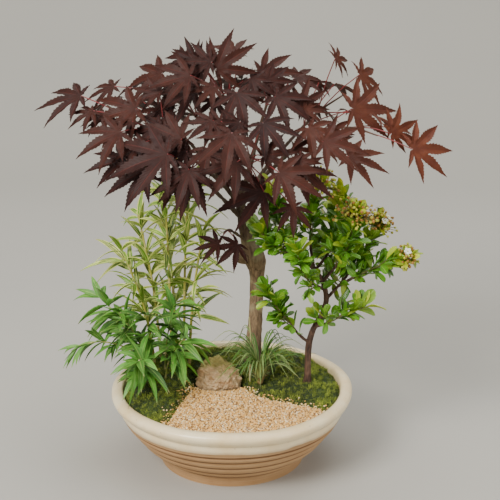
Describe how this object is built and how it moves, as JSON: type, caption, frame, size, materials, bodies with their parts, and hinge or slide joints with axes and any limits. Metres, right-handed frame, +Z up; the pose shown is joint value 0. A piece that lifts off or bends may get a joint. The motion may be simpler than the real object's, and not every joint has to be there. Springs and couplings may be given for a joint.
{
  "type": "bonsai tree in a pot",
  "caption": "Landscape bonsai in a round stoneware bowl: red-leaved maple over striped bamboo and budding firethorn, with grass, moss, a stone and a stream of sand.",
  "frame": {"origin": "on the surface it stands on, under the centre of the whole planting's box; the bowl's axis is at x -12.7 mm, y -26.4 mm", "axes": "+Z up, -Y towards the front, where the sand meets the rim, +X to the right"},
  "size_m": [0.3969, 0.2929, 0.4268],
  "materials": {
    "glazed_stoneware": "cream glaze on the lip and shoulder, bare tan clay with throwing ridges below",
    "maple_bark": "grey-brown ridged bark",
    "maple_foliage": "dark purple-red leaves on crimson stalks",
    "striped_bamboo": "cream and green striped leaves on yellow-green culms",
    "green_bamboo": "fresh green leaves",
    "firethorn_bark": "dark brown rough bark",
    "firethorn_foliage": "glossy bright green leaves, yellow-green at the tips",
    "flower_buds": "ochre and brown buds with a few white flowers",
    "grass": "dark green narrow blades",
    "dry_stalk": "straw-coloured stalk",
    "moss": "dense dark green moss",
    "sand": "loose apricot-coloured coarse sand",
    "rock": "rough weathered tan stone",
    "soil": "dark crumbly potting soil",
    "grit": "coarse drainage grit",
    "net_plastic": "black moulded net",
    "clip_wire": "bare bent wire"
  },
  "bodies": {
    "root": {"bamboo_culm_01": "striped_bamboo", "bamboo_culm_02": "striped_bamboo", "bamboo_culm_03": "striped_bamboo", "bamboo_culm_04": "striped_bamboo", "bamboo_culm_05": "striped_bamboo", "bamboo_culm_06": "striped_bamboo", "bamboo_shoot_01": "green_bamboo", "bamboo_shoot_02": "green_bamboo", "bamboo_shoot_03": "green_bamboo", "bamboo_shoot_04": "green_bamboo", "bamboo_shoot_05": "green_bamboo", "bamboo_shoot_06": "green_bamboo", "bamboo_shoot_07": "green_bamboo", "bowl": "glazed_stoneware", "drain_net": "net_plastic", "drainage_grit": "grit", "firethorn_buds_right_far": "flower_buds", "firethorn_buds_right_mid": "flower_buds", "firethorn_buds_right_top": "flower_buds", "firethorn_buds_top": "flower_buds", "firethorn_shoot_back": "firethorn_foliage", "firethorn_shoot_front": "firethorn_foliage", "firethorn_shoot_left_low": "firethorn_foliage", "firethorn_shoot_left_mid": "firethorn_foliage", "firethorn_shoot_left_top": "firethorn_foliage", "firethorn_shoot_middle": "firethorn_foliage", "firethorn_shoot_right_far": "firethorn_foliage", "firethorn_shoot_right_low": "firethorn_foliage", "firethorn_shoot_right_mid": "firethorn_foliage", "firethorn_shoot_right_top": "firethorn_foliage", "firethorn_shoot_top": "firethorn_foliage", "firethorn_trunk": "firethorn_bark", "grass_stalk": "dry_stalk", "maple_spray_back": "maple_foliage", "maple_spray_front": "maple_foliage", "maple_spray_left_back": "maple_foliage", "maple_spray_left_front": "maple_foliage", "maple_spray_left_low": "maple_foliage", "maple_spray_left_top": "maple_foliage", "maple_spray_low": "maple_foliage", "maple_spray_right": "maple_foliage", "maple_spray_right_back": "maple_foliage", "maple_spray_top": "maple_foliage", "maple_spray_top_right": "maple_foliage", "maple_trunk": "maple_bark", "mondo_grass": "grass", "moss_left": "moss", "moss_right": "moss", "net_clip": "clip_wire", "potting_soil": "soil", "sand_stream": "sand", "stone": "rock"}
  },
  "joints": []
}
